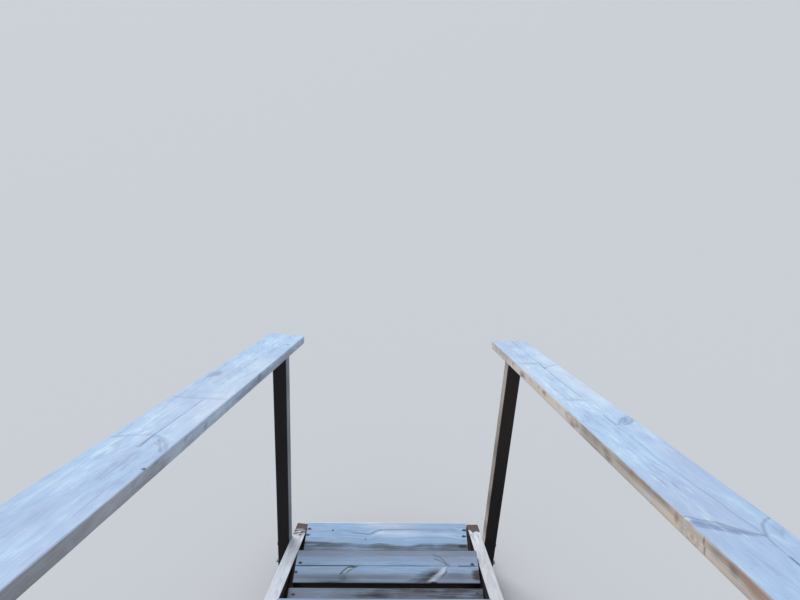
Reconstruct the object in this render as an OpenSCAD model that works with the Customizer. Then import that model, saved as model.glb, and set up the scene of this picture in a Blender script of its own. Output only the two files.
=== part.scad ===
// Wooden waterside stair: two stringers, treads of two boards each on cleats, and a handrail on each
// side, a flat board on two posts. It stands on a level floor. +Y points down the flight.

/* [Flight] */
// Height from one tread to the next
rise = 120; // [105:5:150]
// Level distance from one nosing to the next
going = 300; // [285:5:330]
// Level distance from the lowest nosing to the next, shorter than the others
first_going = 220; // [180:5:300]
// Height of the lowest tread's top above the floor
foot_height = 190; // [150:5:300]
// Clear width between the stringers at the lowest nosing
foot_width = 664; // [560:1:800]
// Angle by which each side spreads toward the top of the flight, seen from above
flare = 2.5; // [0:0.5:5]

/* [Treads] */
// Width of a tread board
tread_w = 145; // [120:5:150]
// Thickness of a tread board
tread_t = 28; // [22:1:40]
// Gap between a tread's two boards
tread_gap = 20; // [5:1:25]
// Gap between a board's end and the stringer, at the board's front edge
end_gap = 4; // [3:1:10]

/* [Stringers] */
// Thickness of a stringer
stringer_t = 48; // [38:1:60]
// Depth of a stringer, square to its length
stringer_w = 148; // [120:1:200]
// Plumb distance from a nosing down to the stringer's top edge
nosing_drop = 34; // [25:1:50]
// Level length of a stringer past the lowest nosing
toe = 35; // [20:5:60]
// Level length of a stringer past the top tread
head_end = 15; // [10:5:40]
// Side of the square cleats under the treads
cleat = 45; // [30:1:50]
// Distance of a cleat's ends from the edges of the tread over it
cleat_margin = 12; // [5:1:20]

/* [Handrails] */
// Side of the square posts
post = 48; // [40:1:75]
// Level distance up the flight from the lowest nosing to the lower post's middle
lower_post = 95; // [60:5:120]
// Level distance from the stringer's upper end to the upper post's middle
upper_post = 90; // [50:5:150]
// Width of a handrail
rail_w = 120; // [95:1:145]
// Thickness of a handrail
rail_t = 28; // [22:1:45]
// Plumb height of the right handrail's top above the nosings
rail_height = 875; // [800:5:950]
// Extra height of the left handrail
left_lift = 20; // [0:5:50]
// Level length of a handrail past its lower post's middle
rail_foot = 105; // [60:5:150]
// Level length of a handrail past its upper post's middle
rail_head = 130; // [80:5:200]
// Angle by which the left side leans in over the treads
left_lean = 4; // [0:0.5:5]
// Angle by which the right side leans out from them
right_lean_out = 2; // [0:0.5:3]

/* [Edges] */
// Size of the eased edges of treads and handrails
ease = 3; // [1:0.5:5]

/* [Hidden] */
treads = 6;

// The flight: steepness along a side, and the level run from the lowest nosing to the top tread's back
slope = atan(rise / going * cos(flare));
tread_depth = 2 * tread_w + tread_gap;
run = first_going + (treads - 2) * going + tread_depth;
head = run / cos(flare) + head_end;
lower_y = -lower_post;
upper_y = upper_post - head;
floor_reach = 4000;

// Nosing of tread i, counted from the lowest
function nosing_y(i) = i == 1 ? 0 : -first_going - (i - 2) * going;
function nosing_z(i) = foot_height - rise / going * nosing_y(i);

// Half the clear width between the stringers at y
function half_clear(y) = foot_width / 2 - y * tan(flare);

// Outline of a flat board with eased edges, its top face's middle at the origin
function board_outline(w, t) = [
    [-w / 2 + ease, 0], [w / 2 - ease, 0], [w / 2, -ease], [w / 2, ease - t],
    [w / 2 - ease, -t], [ease - w / 2, -t], [-w / 2, ease - t], [-w / 2, -ease]
];

// Handrail: its top above the nosing line, and the middle of its section
rail_u = stringer_t + post / 2;
function rail_top(side) = rail_height + (side == "left" ? left_lift : 0);

// Place along the slope, from the nosing line's origin, of the handrail's top at level distance y
function rail_s(side, y) = y / cos(slope) - rail_top(side) * sin(slope);
function rail_ends(side) = [rail_s(side, upper_y - rail_head), rail_s(side, lower_y + rail_foot)];
function rail_section(side) = [
    for (p = board_outline(rail_w, rail_t)) [p[0] + rail_u, p[1] + rail_top(side) * cos(slope)]
];

// A side's frame: x out from the stringer's inner face, y down the flight, z plumb, with the nosing
// line through the origin. The side leans in about that line and spreads by the flare.
function lean(side) = side == "left" ? left_lean : -right_lean_out;
module on_side(side) {
    translate([-middle[0], -middle[1], foot_height])
        mirror([side == "left" ? 1 : 0, 0, 0])
            translate([foot_width / 2, 0, 0])
                rotate([0, 0, flare])
                    rotate([-slope, 0, 0])
                        rotate([0, -lean(side), 0])
                            rotate([slope, 0, 0])
                                children();
}

// The same for a point, before the stair is moved to its origin
function turn_x(p, a) = [p[0], p[1] * cos(a) - p[2] * sin(a), p[1] * sin(a) + p[2] * cos(a)];
function turn_y(p, a) = [p[0] * cos(a) + p[2] * sin(a), p[1], p[2] * cos(a) - p[0] * sin(a)];
function turn_z(p, a) = [p[0] * cos(a) - p[1] * sin(a), p[0] * sin(a) + p[1] * cos(a), p[2]];
function leaned(side, p) = turn_z(turn_x(turn_y(turn_x(p, slope), -lean(side)), -slope), flare);
function placed(side, p) = let (q = leaned(side, p))
    [(side == "left" ? -1 : 1) * (q[0] + foot_width / 2), q[1], q[2] + foot_height];

// Where a plumb line through [u, y] of a side's frame meets the floor
function on_floor(side, u, y) = let (q = leaned(side, [u, y, 0]), up = leaned(side, [0, 0, 1]))
    placed(side, [u, y, -(foot_height + q[2]) / up[2]]);

// The outermost corners of handrails, toes and post feet: the origin stands midway between them
outermost = [
    for (side = ["left", "right"]) each concat(
        [for (s = rail_ends(side), p = rail_section(side)) placed(side, turn_x([p[0], s, p[1]], -slope))],
        [for (y = [lower_y, upper_y], half = [-post / 2, post / 2])
            on_floor(side, stringer_t + post, y + half)],
        [on_floor(side, stringer_t, toe), placed(side, [stringer_t, toe, -nosing_drop - toe * tan(slope)])])
];
xs = [for (p = outermost) p[0]];
ys = [for (p = outermost) p[1]];
middle = [(min(xs) + max(xs)) / 2, (min(ys) + max(ys)) / 2];

// Keeps what is above the floor
module above_floor() {
    intersection() {
        children();
        translate([-floor_reach / 2, -floor_reach / 2, 0]) cube(floor_reach);
    }
}

// A board whose outline is drawn in a side's y and z, from u out, t thick
module plank(outline, u, t) {
    translate([u, 0, 0]) rotate([90, 0, 90]) linear_extrude(t) polygon(outline);
}

module stringer(side) {
    top_toe = -nosing_drop - toe * tan(slope);
    top_head = -nosing_drop + head * tan(slope);
    depth = stringer_w / cos(slope);
    color("#c3c5c4") above_floor() on_side(side)
        plank([[toe, top_toe], [-head, top_head], [-head, top_head - depth], [toe, top_toe - depth]],
            0, stringer_t);
}

// A post runs from the floor to the handrail, its top cut to the slope
module rail_post(side, y) {
    near = y - post / 2;
    far = y + post / 2;
    underside = rail_top(side) - rail_t / cos(slope);
    sole = -foot_height + near * tan(slope) - post;
    color("#3a332c") above_floor() on_side(side)
        plank([[near, sole], [far, sole], [far, underside - far * tan(slope)],
            [near, underside - near * tan(slope)]], stringer_t, post);
}

module handrail(side) {
    ends = rail_ends(side);
    color("#bcc7d2") on_side(side)
        rotate([-slope, 0, 0]) translate([0, ends[1], 0])
            rotate([90, 0, 0]) linear_extrude(ends[1] - ends[0]) polygon(rail_section(side));
}

// Board j of tread i, 0 at the nosing and 1 behind it
module tread_board(i, j) {
    y = nosing_y(i) - j * (tread_w + tread_gap);
    length = 2 * (half_clear(y) - end_gap);
    color("#aab4bf")
        translate([length / 2 - middle[0], y - tread_w / 2 - middle[1], nosing_z(i)])
            rotate([90, 0, -90]) linear_extrude(length) polygon(board_outline(tread_w, tread_t));
}

// The cleat under one end of tread i, fixed to the stringer and cut level under the boards
module tread_cleat(side, i) {
    y = nosing_y(i) / cos(flare);
    z = -y * tan(slope);
    seat = nosing_z(i) - tread_t;
    color("#8a8478") difference() {
        on_side(side)
            translate([-cleat, y - tread_depth + cleat_margin, z - tread_t - cleat])
                cube([cleat, tread_depth - 2 * cleat_margin, 2 * cleat]);
        translate([-floor_reach / 2, -floor_reach / 2, seat]) cube(floor_reach);
    }
}

stringer("left");  // left_stringer
stringer("right");  // right_stringer
rail_post("left", lower_y);  // left_lower_post
rail_post("right", lower_y);  // right_lower_post
rail_post("left", upper_y);  // left_upper_post
rail_post("right", upper_y);  // right_upper_post
handrail("left");  // left_handrail
handrail("right");  // right_handrail
for (i = [1 : treads]) {
    tread_board(i, 0);
    tread_board(i, 1);
    tread_cleat("left", i);
    tread_cleat("right", i);
}
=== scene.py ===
import math

import bpy
import numpy as np
from mathutils import Matrix, Vector


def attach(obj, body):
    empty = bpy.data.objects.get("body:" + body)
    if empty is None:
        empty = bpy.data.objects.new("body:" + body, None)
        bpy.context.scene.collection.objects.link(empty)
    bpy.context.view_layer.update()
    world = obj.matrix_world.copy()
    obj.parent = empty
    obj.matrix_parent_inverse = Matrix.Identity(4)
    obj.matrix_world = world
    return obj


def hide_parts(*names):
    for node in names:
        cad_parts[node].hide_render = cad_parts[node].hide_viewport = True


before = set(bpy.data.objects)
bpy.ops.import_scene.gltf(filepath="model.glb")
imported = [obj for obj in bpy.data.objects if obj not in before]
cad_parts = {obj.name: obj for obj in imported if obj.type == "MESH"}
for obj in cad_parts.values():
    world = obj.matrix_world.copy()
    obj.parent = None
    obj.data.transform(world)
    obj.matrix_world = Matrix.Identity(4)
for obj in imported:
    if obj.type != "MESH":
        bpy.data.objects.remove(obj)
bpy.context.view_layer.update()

# Stringers
# Two rough-sawn pine boards on edge carry the treads. Rain and sun have raised their fibres to a pale
# fuzz, and the toes, which are often wet, have gone brown and soft.
MM = 0.001


def linear(hex_colour):
    """An sRGB hex colour as the linear RGBA that sockets take"""
    channels = [int(hex_colour[i:i + 2], 16) / 255 for i in (1, 3, 5)]
    return (*[c / 12.92 if c <= 0.04045 else ((c + 0.055) / 1.055) ** 2.4 for c in channels], 1.0)


def add(tree, kind, inputs=None, **settings):
    """Adds a node with its settings. An input is a value, a socket, or a node whose live output is used."""
    made = tree.nodes.new(kind)
    for key, value in settings.items():
        setattr(made, key, value)
    for key, value in (inputs or {}).items():
        named = [s for s in made.inputs if s.enabled and s.name == key]
        socket = made.inputs[key] if isinstance(key, int) else named[0]
        if isinstance(value, bpy.types.Node):
            value = next(s for s in value.outputs if s.enabled)
        if isinstance(value, bpy.types.NodeSocket):
            tree.links.new(value, socket)
        else:
            socket.default_value = value
    return made


def marks_of(length, width):
    """Scales of a pattern whose marks are this many millimetres long along the grain and wide across it"""
    return (1 / (length * MM), 1 / (width * MM), 1 / (width * MM))


def new_tree(name, inputs, result):
    """A Geometry Nodes tree that is yet empty, with named inputs of each kind, and what those give"""
    tree = bpy.data.node_groups.new(name, "GeometryNodeTree")
    for kind, names in inputs.items():
        for socket in names:
            tree.interface.new_socket(socket, in_out="INPUT", socket_type=f"NodeSocket{kind}")
    tree.interface.new_socket(result, in_out="OUTPUT", socket_type="NodeSocketGeometry")
    return tree, add(tree, "NodeGroupInput").outputs


def kept_within(tree, vector, limit):
    """Holds each part of a vector within this limit either way"""
    low = add(tree, "ShaderNodeVectorMath", {0: limit, "Scale": -1.0}, operation="SCALE")
    capped = add(tree, "ShaderNodeVectorMath", {0: vector, 1: limit}, operation="MINIMUM")
    return add(tree, "ShaderNodeVectorMath", {0: capped, 1: low}, operation="MAXIMUM")


def timber_tree():
    """Geometry Nodes tree of one worn timber: a box of mesh lines, its arrises rounded unevenly by wear
    and its faces let down into ridges along the grain. "lattice" keeps each point's place before that."""
    tree, given = new_tree("Worn timber", {
        "Float": ("Length", "Width", "Depth", "Arris", "Ridges", "Ridge pitch", "Seed"),
        "Int": ("Lines along", "Lines across", "Lines deep"), "Material": ("Finish",)}, "Timber")
    size = add(tree, "ShaderNodeCombineXYZ", {0: given["Length"], 1: given["Width"], 2: given["Depth"]})
    box = add(tree, "GeometryNodeMeshCube", {
        "Size": size, "Vertices X": given["Lines along"], "Vertices Y": given["Lines across"],
        "Vertices Z": given["Lines deep"]})
    kept = add(tree, "GeometryNodeStoreNamedAttribute", {
        "Geometry": box.outputs["Mesh"], "Name": "lattice", "Value": add(tree, "GeometryNodeInputPosition")},
        data_type="FLOAT_VECTOR")

    # The outermost lines but one are drawn to where the arris begins
    count = add(tree, "ShaderNodeCombineXYZ", {0: given["Lines along"], 1: given["Lines across"],
                                               2: given["Lines deep"]})
    gaps = add(tree, "ShaderNodeVectorMath", {0: count, 1: (1, 1, 1)}, operation="SUBTRACT")
    pitch = add(tree, "ShaderNodeVectorMath", {0: size, 1: gaps}, operation="DIVIDE")
    half = add(tree, "ShaderNodeVectorMath", {0: size, "Scale": 0.5}, operation="SCALE")
    flat = add(tree, "ShaderNodeVectorMath", {0: half, 1: given["Arris"]}, operation="SUBTRACT")
    inside = add(tree, "ShaderNodeVectorMath", {0: half, 1: pitch}, operation="SUBTRACT")
    stretch = add(tree, "ShaderNodeVectorMath", {0: flat, 1: inside}, operation="DIVIDE")
    place = add(tree, "GeometryNodeInputPosition")
    spread = add(tree, "ShaderNodeVectorMath", {0: place, 1: stretch}, operation="MULTIPLY")
    drawn = kept_within(tree, spread, half)

    # Wear rounds the arrises by 0.7 to 1.3 of the eased edge, in stretches along the grain
    far = add(tree, "ShaderNodeCombineXYZ", {0: given["Seed"], 1: given["Seed"], 2: given["Seed"]})
    seeded = add(tree, "ShaderNodeVectorMath", {0: drawn, 1: far}, operation="ADD")
    stretches = add(tree, "ShaderNodeVectorMath", {0: seeded, 1: marks_of(200, 62)}, operation="MULTIPLY")
    patchy = add(tree, "ShaderNodeTexNoise", {"Vector": stretches, "Scale": 1.0, "Detail": 2.0})
    wear = add(tree, "ShaderNodeMapRange", {
        "Value": patchy, "From Min": 0.3, "From Max": 0.72, "To Min": 0.7, "To Max": 1.3})
    arris = add(tree, "ShaderNodeMath", {0: wear, 1: given["Arris"]}, operation="MULTIPLY")
    limit = add(tree, "ShaderNodeVectorMath", {0: half, 1: arris}, operation="SUBTRACT")
    core = kept_within(tree, drawn, limit)
    reach = add(tree, "ShaderNodeVectorMath", {0: drawn, 1: core}, operation="SUBTRACT")
    outward = add(tree, "ShaderNodeVectorMath", {0: reach}, operation="NORMALIZE")
    skin = add(tree, "ShaderNodeVectorMath", {0: outward, "Scale": arris}, operation="SCALE")
    rounded = add(tree, "ShaderNodeVectorMath", {0: core, 1: skin}, operation="ADD")

    # Soft early wood has weathered back between the ridges
    across = add(tree, "ShaderNodeMath", {0: 1.0, 1: given["Ridge pitch"]}, operation="DIVIDE")
    scale = add(tree, "ShaderNodeCombineXYZ", {0: 1 / (450 * MM), 1: across, 2: across})
    grain = add(tree, "ShaderNodeVectorMath", {0: seeded, 1: scale}, operation="MULTIPLY")
    ridge = add(tree, "ShaderNodeTexNoise", {"Vector": grain, "Scale": 1.0, "Detail": 2.0})
    fall = add(tree, "ShaderNodeMath", {0: ridge, 1: given["Ridges"]}, operation="MULTIPLY")
    inward = add(tree, "ShaderNodeMath", {0: fall, 1: -1.0}, operation="MULTIPLY")
    let_down = add(tree, "ShaderNodeVectorMath", {0: outward, "Scale": inward}, operation="SCALE")
    worn = add(tree, "ShaderNodeVectorMath", {0: rounded, 1: let_down}, operation="ADD")
    moved = add(tree, "GeometryNodeSetPosition", {"Geometry": kept, "Position": worn})
    smooth = add(tree, "GeometryNodeSetShadeSmooth", {"Geometry": moved})
    real = add(tree, "GeometryNodeRealizeInstances", {"Geometry": smooth})
    finished = add(tree, "GeometryNodeSetMaterial", {"Geometry": real, "Material": given["Finish"]})
    add(tree, "NodeGroupOutput", {"Timber": finished})
    return tree


TIMBER = timber_tree()


def new_object(name, data):
    """A new object in the scene, which holds this mesh, lamp or camera"""
    made = bpy.data.objects.new(name, data)
    bpy.context.scene.collection.objects.link(made)
    return made


def make_plain(piece):
    """Gives a piece the mesh that its modifiers make, and takes them off it"""
    bpy.context.view_layer.update()
    seen = bpy.context.evaluated_depsgraph_get()
    made = bpy.data.meshes.new_from_object(piece.evaluated_get(seen), depsgraph=seen)
    piece.modifiers.clear()
    piece.data = made


def vectors_of(points, name):
    """What a mesh keeps for its points under this name, one row to a point"""
    found = np.zeros(len(points) * 3)
    points.foreach_get(name, found)
    return found.reshape(-1, 3)


def keep_vectors(mesh, name, vectors):
    """Keeps one vector for each of a mesh's points under this name"""
    kept = mesh.attributes.new(name, "FLOAT_VECTOR", "POINT")
    kept.data.foreach_set("vector", np.array(vectors, np.float32).ravel())


def grown(tree, inputs, name, places=()):
    """The piece that a Geometry Nodes tree makes with these named inputs, set on places with their up
    directions"""
    start = bpy.data.meshes.new(name)
    start.from_pydata([place for place, _ in places], [], [])
    keep_vectors(start, "up", [up for _, up in places])
    piece = new_object(name, start)
    modifier = piece.modifiers.new("Maker", "NODES")
    modifier.node_group = tree
    for socket in tree.interface.items_tree:
        if socket.in_out == "INPUT" and socket.name in inputs:
            modifier[socket.identifier] = inputs[socket.name]
    make_plain(piece)
    return piece


def flat_faces(node):
    """A CAD member's flat faces as [outward direction, area, distance from the origin]"""
    found = []
    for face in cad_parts[node].data.polygons:
        out = face.normal.copy()
        distance = out.dot(face.center)
        same = [f for f in found if f[0].dot(out) > 0.9999 and abs(f[2] - distance) < 0.3 * MM]
        if same:
            same[0][1] += face.area
        else:
            found.append([out, face.area, distance])
    return found


def wander(x, seed, pitch=0.16):
    """A smooth wavering line about zero, as a drying crack takes along the grain"""
    waves = np.random.default_rng(seed).uniform(0.0, 2 * math.pi, 4)
    return sum(np.sin(x / pitch * (n + 1) + w) / (n + 1) for n, w in enumerate(waves)) / 2


def soft_step(low, high, x):
    """0 up to low, 1 from high on and smooth between, or falling where low is the higher of the two"""
    t = np.clip((x - low) / (high - low), 0.0, 1.0)
    return t * t * (3 - 2 * t)


# Marks that a timber's mesh keeps: how far the fibres break each up, and the amounts at which it begins to
# show and shows fully
MARKS = {"worn": (1.5, 0.0, 1.0), "tan": (1.2, 0.0, 1.0), "bare": (1.5, 0.0, 1.0), "damp": (3.0, 0.0, 1.0),
         "algae": (3.0, 0.05, 1.0), "grime": (3.0, 0.05, 0.9), "wet": (1.6, 0.1, 0.8)}
# A check closes within this far of its ends, and its path's corners are rounded over this far each way
CHECK_FADE = 30 * MM
ROUNDING = 9 * MM
# A knot is longer than wide, and its hard middle stands this much proud
KNOT_STRETCH = 1.3
KNOT_PROUD = 0.6 * MM
# Points nearer than this are taken as one place
SAME_PLACE = 0.001 * MM


class Timber:
    """A worn timber that takes a CAD member's place. Its own x runs along it from its first end, y across
    it from its first edge, and z is 0 on its upper face and falls below it. Its marks are given in
    millimetres, lengthwise from its first end or, on a centred one, from its middle."""

    def __init__(self, node, name, material, lines, arris, ridges, across, along, up=(0, 0, 1), pitch=9 * MM,
                 seed=1, trim=(0.0, 0.0), centred=False):
        """lines are its mesh lines along, across and deep. across, along and up are the ways that it faces,
        and trim is how far its ends stand in from the CAD member's. arris is how far its edges are eased,
        ridges how deep its grain has weathered, and pitch how far apart the ridges lie."""
        self.node = node
        faces = flat_faces(node)
        self.out = max(faces, key=lambda f: f[0].dot(Vector(across)))[0]
        square = [f for f in faces if abs(f[0].dot(self.out)) < 0.02]
        self.up = max(square, key=lambda f: f[1])[0]
        if self.up.dot(Vector(up)) < 0:
            self.up = -self.up
        self.way = self.out.cross(self.up).normalized()
        self.mirrored = self.way.dot(Vector(along)) < 0
        if self.mirrored:
            self.way = -self.way
        self.axes = np.array([self.way, self.out, self.up])
        corners = np.array([v.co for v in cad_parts[node].data.vertices]) @ self.axes.T
        self.low, self.high = corners.min(0), corners.max(0)
        self.datum = (self.high[0] - self.low[0]) / 2 - trim[0] if centred else 0.0
        self.low[0] += trim[0]
        self.high[0] -= trim[1]
        self.trim = trim
        self.ends = [(np.array(n) @ self.axes.T, d) for n, _, d in faces if abs(n.dot(self.way)) > 0.2]
        self.size = self.high - self.low
        self.seed = seed
        self.piece = grown(TIMBER, {
            "Length": self.size[0], "Width": self.size[1], "Depth": self.size[2], "Arris": arris,
            "Ridges": ridges, "Ridge pitch": pitch, "Seed": 3.7 * seed, "Lines along": lines[0],
            "Lines across": lines[1], "Lines deep": lines[2], "Finish": material}, name)
        mesh = self.piece.data
        corner = np.array([-self.size[0] / 2, -self.size[1] / 2, self.size[2] / 2])
        self.points = vectors_of(mesh.vertices, "co") - corner
        self.lattice = vectors_of(mesh.attributes["lattice"].data, "vector") - corner
        self.grain = self.lattice.copy()
        self.top = self.lattice[:, 2] > -SAME_PLACE
        self.inner = (self.lattice[:, 1] < SAME_PLACE) & ~self.top
        self.layers = {k: np.zeros(len(self.points)) for k in ("check", "knot", *MARKS)}
        self.shelter()

    def shelter(self):
        """The upper face is bleached, and edges, ends and underside less and less"""
        on_edge = (self.lattice[:, 1] < SAME_PLACE) | (self.lattice[:, 1] > self.size[1] - SAME_PLACE)
        on_end = (self.lattice[:, 0] < SAME_PLACE) | (self.lattice[:, 0] > self.size[0] - SAME_PLACE)
        rim = on_edge | on_end
        self.layers["bleached"] = np.select([self.top & rim, self.top, rim], [0.9, 1.0, 0.45], 0.0)

    def in_millimetres(self):
        """How far each mesh point lies along the timber, across it and below its upper face"""
        return (self.lattice[:, 0] - self.datum) / MM, self.lattice[:, 1] / MM, -self.lattice[:, 2] / MM

    def at(self, places):
        """Places on the upper face in this timber's own metres"""
        return [(self.datum + x * MM, y * MM) for x, y in places]

    def check(self, path, width=1.6, depth=5.0, sway=1.5, dark=1.0, seed=1):
        """Opens a drying crack in the upper face: the mesh line nearest to its path is drawn onto it and
        let down, and the lines beside it are drawn to its lips. dark is how far dirt shows in it."""
        path = self.at(path)
        start, stop = path[0][0], path[-1][0]
        columns = np.unique(np.round(self.lattice[self.top, 1], 6))
        gap = columns[1] - columns[0]
        middle = np.mean([y for _, y in path])
        nearest = 2 + int(np.argmin(np.abs(columns[2:-2] - middle)))
        home = columns[nearest]
        knots = [columns[0], home - gap, home, home + gap, columns[-1]]
        rows = np.unique(np.round(self.lattice[self.top, 0], 6))
        opened = np.ones(len(rows))
        if start > SAME_PLACE:
            opened *= soft_step(start - CHECK_FADE, start + CHECK_FADE, rows)
        if stop < self.size[0] - SAME_PLACE:
            opened *= 1 - soft_step(stop - CHECK_FADE, stop + CHECK_FADE, rows)
        line = self.eased(path, rows) + sway * MM * wander(rows, seed)
        row_of = np.searchsorted(rows, np.round(self.lattice[:, 0], 6) - SAME_PLACE / 10)
        uneven = 0.75 + 0.25 * wander(rows, seed + 9, 0.05)
        for i in np.flatnonzero(opened > 0):
            mine = self.top & (row_of == i)
            centre = home + opened[i] * (line[i] - home)
            lip = gap + opened[i] * (width * MM / 2 * uneven[i] - gap)
            targets = [columns[0], centre - lip, centre, centre + lip, columns[-1]]
            self.points[mine, 1] += np.interp(self.lattice[mine, 1], knots, targets) - self.lattice[mine, 1]
            bottom = mine & (np.abs(self.lattice[:, 1] - home) < gap / 4)
            self.points[bottom, 2] -= depth * MM * opened[i] * uneven[i]
            self.layers["check"][bottom] = np.maximum(self.layers["check"][bottom], dark * opened[i])

    @staticmethod
    def eased(path, x):
        """A path's y at each x, with its corners rounded"""
        nearby = x + np.linspace(-ROUNDING, ROUNDING, 9)[:, None]
        return np.interp(nearby, *zip(*path)).mean(0)

    def knot_at(self, x, y, radius):
        """A branch knot in the upper face: the grain flows round it, and its hard wood stands proud in a
        hollowed ring"""
        x, y = self.at([(x, y)])[0]
        dy = self.lattice[:, 1] - y
        away = np.hypot((self.lattice[:, 0] - x) / KNOT_STRETCH, dy) / (radius * MM)
        flow = np.exp(-(away / 2.2) ** 2)
        self.grain[:, 1] -= np.sign(dy) * np.minimum(np.abs(dy), radius * MM) * 0.85 * flow
        self.mark("knot", np.clip(1.35 - away, 0.0, 1.0) * self.top)
        hump = np.exp(-away ** 4) - 1.2 * np.exp(-((away - 1.25) / 0.2) ** 2)
        self.points[:, 2] += self.top * KNOT_PROUD * hump

    def mark(self, layer, amount):
        """Keeps the stronger of a layer's marks and new ones"""
        self.layers[layer] = np.maximum(self.layers[layer], amount)

    def stain(self, layer, x, y, length, width, amount=1.0, inner=False, hollow=False):
        """A soft-edged mark on one layer, about x and y of the upper face, or x and depth of the first edge.
        A hollow one is a ring."""
        x, y = self.at([(x, y)])[0]
        second = -self.lattice[:, 2] if inner else self.points[:, 1]
        away = np.hypot((self.lattice[:, 0] - x) / (length * MM), (second - y) / (width * MM))
        away = 2.5 * np.abs(away - 1) if hollow else away
        self.mark(layer, amount * np.clip(1.3 - away, 0.0, 1.0) * (self.inner if inner else self.top))

    def nearest(self, path):
        """How far each mesh point lies from a path on the upper face"""
        here = self.points[:, :2]
        found = np.full(len(here), np.inf)
        for a, b in zip(path, path[1:]):
            start, run = np.array(a), np.array(b) - np.array(a)
            share = np.clip((here - start) @ run / (run @ run), 0.0, 1.0)
            found = np.minimum(found, np.linalg.norm(here - start - share[:, None] * run, axis=1))
        return found

    def score(self, path, width=2.2, amount=0.6, depth=0.4, layer="check"):
        """A fine line along a path on the upper face, as a short check or a dark ring about a knot makes.
        Gives how strong it is at each mesh point."""
        line = np.clip(1.6 - self.nearest(self.at(path)) / (width * MM), 0.0, 1.0) * self.top
        self.mark(layer, amount * line)
        self.points[:, 2] -= depth * MM * line
        return line

    def patch(self, layer, corners, amount=1.0, soft=3.0, rise=0.0):
        """A mark on the upper face with corners of its own, which stands up by rise, or lies let down"""
        corners = self.at(corners)
        corners.append(corners[0])
        here = self.points[:, :2]
        inside = np.zeros(len(here), bool)
        for (x, y), (next_x, next_y) in zip(corners, corners[1:]):
            if y != next_y:
                spans = (here[:, 1] > min(y, next_y)) & (here[:, 1] <= max(y, next_y))
                inside ^= spans & (here[:, 0] < x + (here[:, 1] - y) * (next_x - x) / (next_y - y))
        edge = self.nearest(corners) / (soft * MM)
        spread = np.clip(0.5 + np.where(inside, edge, -edge), 0.0, 1.0) * self.top
        self.mark(layer, amount * spread)
        self.points[:, 2] += rise * MM * spread

    def world(self, x, y, z=0.0):
        """Where a place on this timber is in the stair's frame"""
        return Vector((np.array([x, y, z]) + np.array([self.low[0], self.low[1], self.high[2]])) @ self.axes)

    def finish(self, slot, floor=False):
        """Fits the timber between the CAD member's own ends, puts it in its place and keeps its marks"""
        section = self.points[:, 1:] + np.array([self.low[1], self.high[2]])
        first = np.full(len(section), -1e9)
        last = np.full(len(section), 1e9)
        for normal, distance in self.ends:
            reach = (distance - section @ normal[1:]) / normal[0]
            if normal[0] > 0:
                last = np.minimum(last, reach)
            else:
                first = np.maximum(first, reach)
        first += self.trim[0]
        last -= self.trim[1]
        share = self.points[:, 0] / self.size[0]
        placed = np.column_stack([first + share * (last - first), section]) @ self.axes
        if floor:
            placed[:, 2] = np.maximum(placed[:, 2], 0.0)
        mesh = self.piece.data
        mesh.vertices.foreach_set("co", placed.astype(np.float32).ravel())
        if self.mirrored:
            mesh.flip_normals()
        for name in [a.name for a in mesh.attributes if a.name in ("lattice", "UVMap", "uv_map")]:
            mesh.attributes.remove(mesh.attributes[name])
        far = np.array([1.9, 0.0, 0.0]) * self.seed
        keep_vectors(mesh, "grain", self.grain + far + self.pith)
        for name, values in self.layers.items():
            kept = mesh.attributes.new(name, "FLOAT", "POINT")
            kept.data.foreach_set("value", values.astype(np.float32))
        mesh.update()
        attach(self.piece, "root")
        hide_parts(self.node)

    @property
    def pith(self):
        """Where the tree's heart lay under this timber, which bends its growth rings one way or another"""
        side = 0.018 * math.sin(2.3 * self.seed)
        return np.array([0.0, side - self.size[1] / 2, 0.035 + 0.012 * math.cos(1.7 * self.seed)])


def empty_material(name):
    """A material with no nodes in it yet, and its tree"""
    material = bpy.data.materials.new(name)
    material.use_nodes = True
    material.node_tree.nodes.clear()
    return material, material.node_tree


def set_stops(ramp, places, colours):
    """Puts these colours at these places along a colour ramp"""
    stops = ramp.color_ramp.elements
    while len(stops) < len(places):
        stops.new(0.5)
    for stop, place, colour in zip(stops, places, colours):
        stop.position = place
        stop.color = colour


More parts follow.
